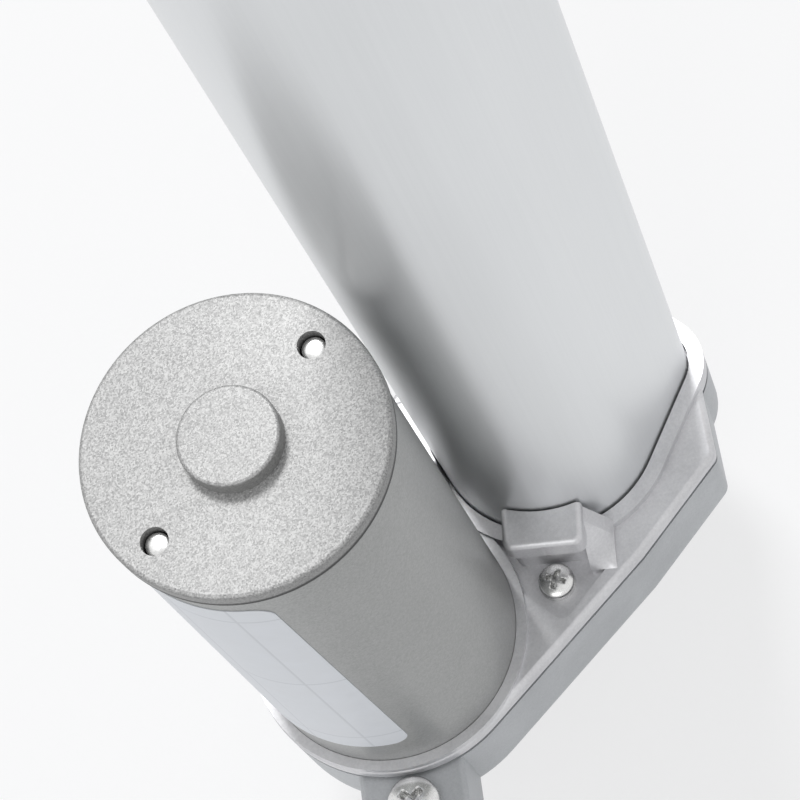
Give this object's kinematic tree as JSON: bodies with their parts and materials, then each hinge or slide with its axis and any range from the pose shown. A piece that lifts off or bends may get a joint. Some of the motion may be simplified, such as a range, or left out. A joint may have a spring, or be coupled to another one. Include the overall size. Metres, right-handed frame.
{
  "type": "linear actuator",
  "caption": "Compact electric linear actuator: side motor, gear housing in the waist, extruded tube and a rod driven by a lead screw.",
  "frame": {"origin": "centre of the rear eye's pin hole, on the rod axis", "axes": "+Z along the rod, the way it extends; +X from the motor towards the tube; the mounting pins lie along Y"},
  "size_m": [0.0805, 0.0451, 0.225],
  "materials": {
    "motor_paint": "fine-grained silver-grey paint",
    "case_cast": "die-cast, matt",
    "flange_cast": "die-cast, satin",
    "tube_anodised": "extruded, satin anodised",
    "rod_steel": "polished",
    "zinc_steel": "zinc plated",
    "bright_steel": "ground",
    "gasket_rubber": "matt",
    "wiper_rubber": "matt",
    "gear_plastic": "moulded acetal",
    "nut_plastic": "moulded, filled",
    "bush_plastic": "moulded",
    "bush_bronze": "sintered",
    "magnet_ferrite": "sintered ferrite",
    "core_steel": "stacked sheets",
    "winding_copper": "enamelled wire",
    "holder_plastic": "moulded",
    "brush_carbon": "pressed carbon",
    "board_green": "printed board",
    "switch_black": "moulded",
    "plunger_white": "moulded"
  },
  "bodies": {
    "root": {"rear_housing": "case_cast", "front_housing": "flange_cast", "housing_gasket": "gasket_rubber", "housing_screws": "zinc_steel", "ear_screw": "zinc_steel", "idler_axle": "bright_steel", "screw_bush": "bush_bronze", "bearing_outer_ring": "bright_steel", "motor_can": "motor_paint", "motor_end_cap": "motor_paint", "motor_end_plate": "bright_steel", "motor_bolts": "zinc_steel", "motor_front_bush": "bush_bronze", "motor_rear_bush": "bush_bronze", "motor_magnets": "magnet_ferrite", "brush_holder": "holder_plastic", "carbon_brushes": "brush_carbon", "outer_tube": "tube_anodised", "tube_screws": "zinc_steel", "front_cap": "flange_cast", "rod_guide_bush": "bush_plastic", "rod_wiper": "wiper_rubber", "front_cap_screws": "zinc_steel", "switch_board": "board_green", "lower_limit_switch": "switch_black", "upper_limit_switch": "switch_black"},
    "rotor": {"armature_core": "core_steel", "armature_windings": "winding_copper", "commutator": "winding_copper", "motor_shaft": "bright_steel", "motor_pinion": "bush_bronze"},
    "idler": {"idler_gear": "gear_plastic"},
    "screw": {"lead_screw": "bright_steel", "screw_wheel": "gear_plastic", "bearing_inner_ring": "bright_steel"},
    "rod": {"drive_nut": "nut_plastic", "extension_rod": "rod_steel", "rod_end": "bright_steel"},
    "lower_plunger": {"lower_switch_plunger": "plunger_white"},
    "upper_plunger": {"upper_switch_plunger": "plunger_white"}
  },
  "joints": [
    {"name": "rotor_spin", "type": "hinge", "parent": "root", "child": "rotor", "pos_m": [-0.03535, 0, 0.065], "axis": [0, 0, -1], "range_deg": [0, 84444]},
    {"name": "idler_spin", "type": "hinge", "parent": "root", "child": "idler", "pos_m": [-0.02308, 0.00238, 0.021], "axis": [0, 0, -1], "range_deg": [-26667, 0]},
    {"name": "screw_spin", "type": "hinge", "parent": "root", "child": "screw", "pos_m": [0, 0, 0.03], "axis": [0, 0, -1], "range_deg": [0, 12000]},
    {"name": "rod_extend", "type": "slide", "parent": "root", "child": "rod", "axis": [0, 0, 1], "range_m": [0, 0.1]},
    {"name": "lower_switch_press", "type": "slide", "parent": "root", "child": "lower_plunger", "axis": [1, 0, 0], "range_m": [0, 0.0004], "stiffness_N_per_m": 200},
    {"name": "upper_switch_press", "type": "slide", "parent": "root", "child": "upper_plunger", "axis": [1, 0, 0], "range_m": [0, 0.0004], "stiffness_N_per_m": 200}
  ],
  "couplings": [
    {"joint": "idler_spin", "follows": "rotor_spin", "ratio": -0.31579},
    {"joint": "screw_spin", "follows": "rotor_spin", "ratio": 0.14211},
    {"joint": "rod_extend", "follows": "rotor_spin", "m_per_rad": 0.00006785}
  ]
}
